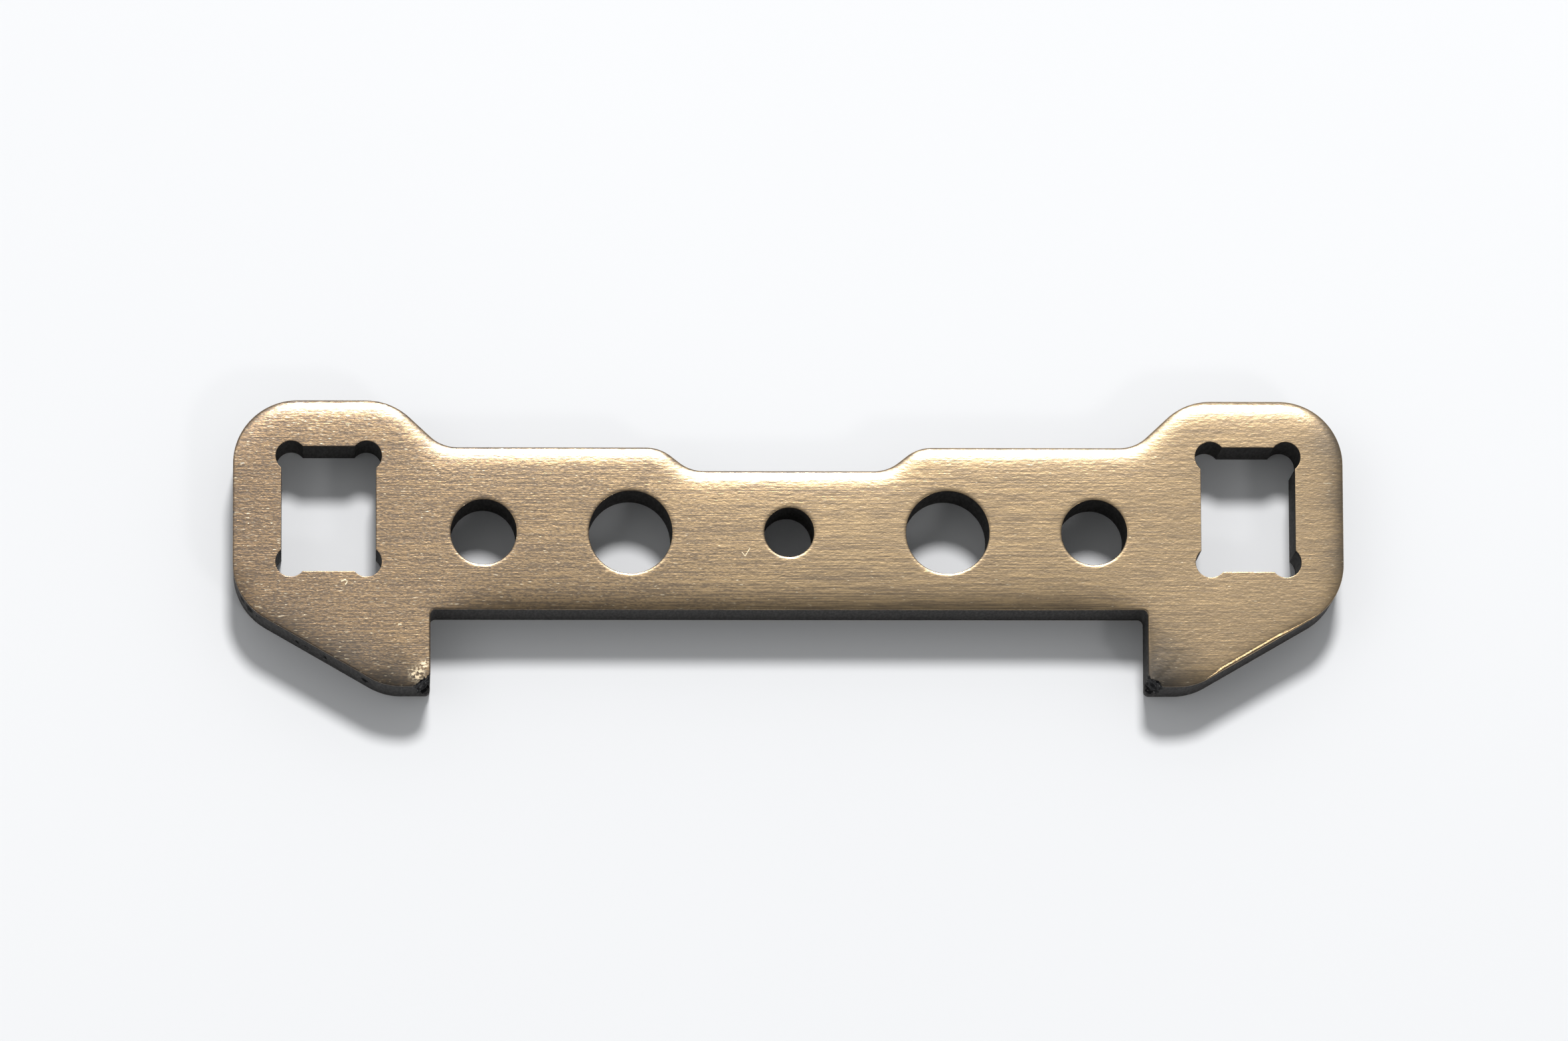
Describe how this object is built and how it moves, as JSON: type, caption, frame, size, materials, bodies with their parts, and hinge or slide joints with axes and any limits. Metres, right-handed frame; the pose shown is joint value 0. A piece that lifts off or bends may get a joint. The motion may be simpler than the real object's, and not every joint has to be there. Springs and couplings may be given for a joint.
{
  "type": "mounting plate",
  "caption": "Flat milled plate with a row of screw holes, a windowed ear at each end for a square bush, and toes beside a wide lower recess.",
  "frame": {"origin": "axis of the middle screw hole, on the back face", "axes": "+X along the plate, +Y up its face towards the ears, +Z out of the brushed face"},
  "size_m": [0.0692, 0.018, 0.005],
  "materials": {
    "anodised_face": "brushed, hard anodised"
  },
  "bodies": {
    "root": {"mounting_plate": "anodised_face"}
  },
  "joints": []
}
